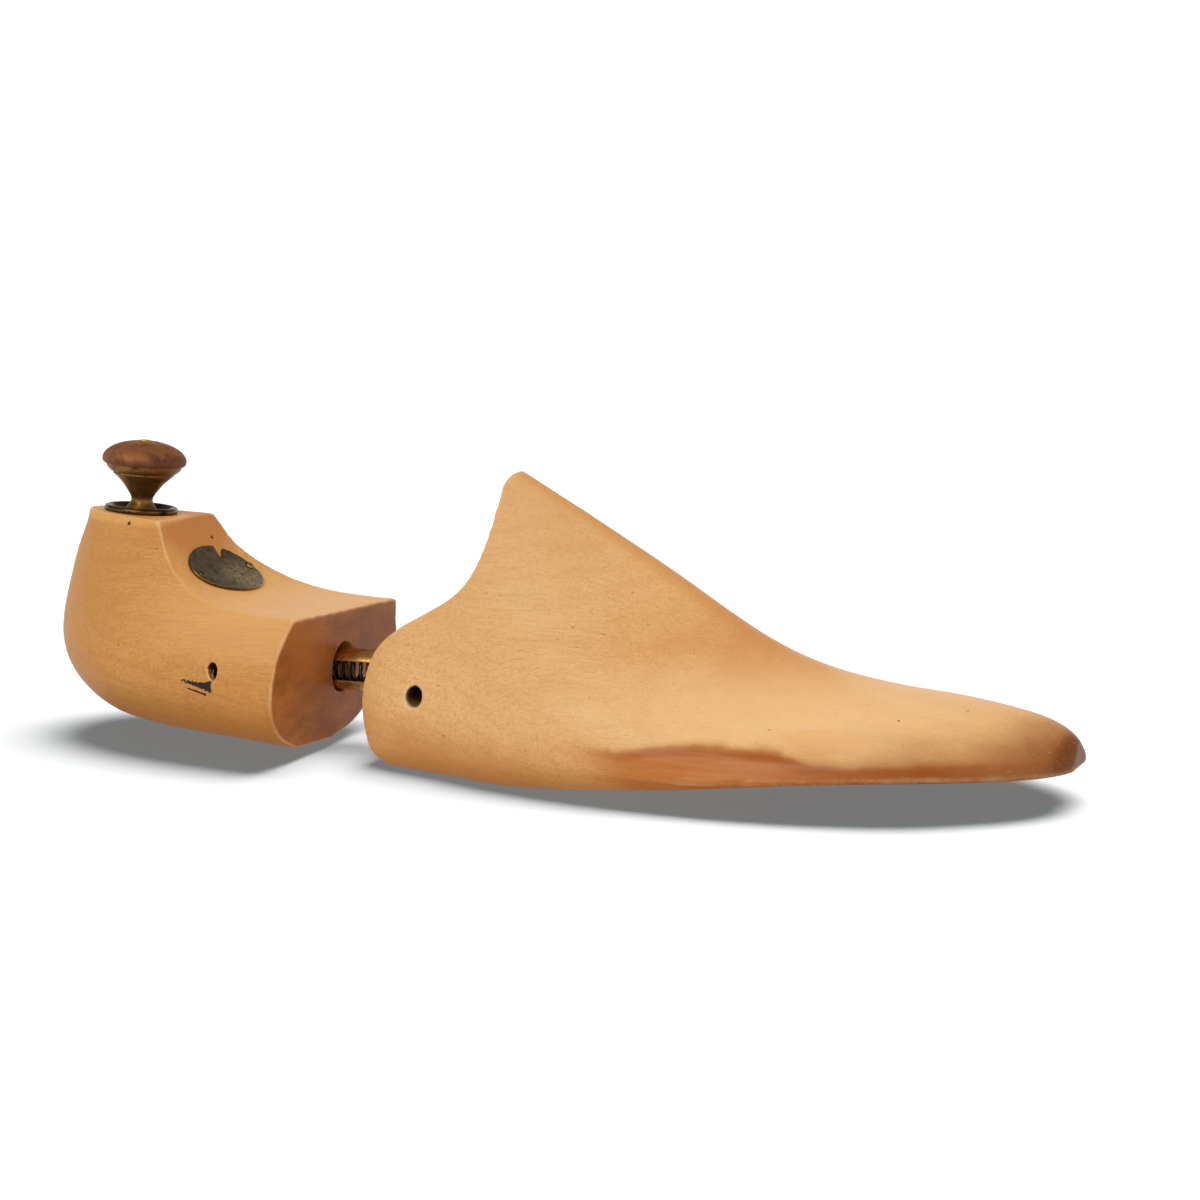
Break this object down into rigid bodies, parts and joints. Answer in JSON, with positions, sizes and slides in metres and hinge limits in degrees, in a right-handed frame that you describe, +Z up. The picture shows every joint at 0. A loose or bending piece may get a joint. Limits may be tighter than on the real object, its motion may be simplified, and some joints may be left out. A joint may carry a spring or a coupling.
{
  "type": "shoe tree",
  "caption": "Hinged wooden shoe tree: a heel block with a pull knob slides on a sprung slotted tube, and the toe block turns on a pin at the tube's front end.",
  "frame": {"origin": "on the floor, under the middle of the tree's bounding box, at rest", "axes": "+X towards the toe along the tube, +Z up, +Y across, away from the side that bulges most"},
  "size_m": [0.2787, 0.0914, 0.0776],
  "materials": {
    "beech": "satin varnished beech, aged honey colour",
    "plug_wood": "plain turned beech",
    "tube_brass": "dull drawn brass, tarnished",
    "spring_steel": "drawn spring wire, dull",
    "pin_steel": "dark drawn steel",
    "ring_bronze": "dark bronze patina with worn bead",
    "knob_brass": "aged turned brass",
    "cap_copper": "copper-brown patina over brass, matt",
    "spindle_brass": "peened brass",
    "plate_bronze": "olive-brown patina, scratched"
  },
  "bodies": {
    "heel": {"heel_block": "beech", "heel_pin": "pin_steel", "knob_ring": "ring_bronze", "knob_stem": "knob_brass", "knob_cap": "cap_copper", "knob_spindle": "spindle_brass", "oval_plate": "plate_bronze", "plate_pin_near": "plate_bronze", "plate_pin_far": "plate_bronze"},
    "tube": {"slide_tube": "tube_brass", "tube_plug": "plug_wood", "spring": "spring_steel"},
    "toe": {"toe_block": "beech", "pivot_pin": "pin_steel"}
  },
  "joints": [
    {"name": "heel_slide", "type": "slide", "parent": "heel", "child": "tube", "axis": [-1, 0, 0], "range_m": [0, 0.012], "stiffness_N_per_m": 1500, "springref_m": -0.006, "deforming": ["spring"]},
    {"name": "toe_pivot", "type": "hinge", "parent": "tube", "child": "toe", "pos_m": [-0.026, 0, 0.02], "axis": [0, -1, 0], "range_deg": [0, 28]}
  ]
}
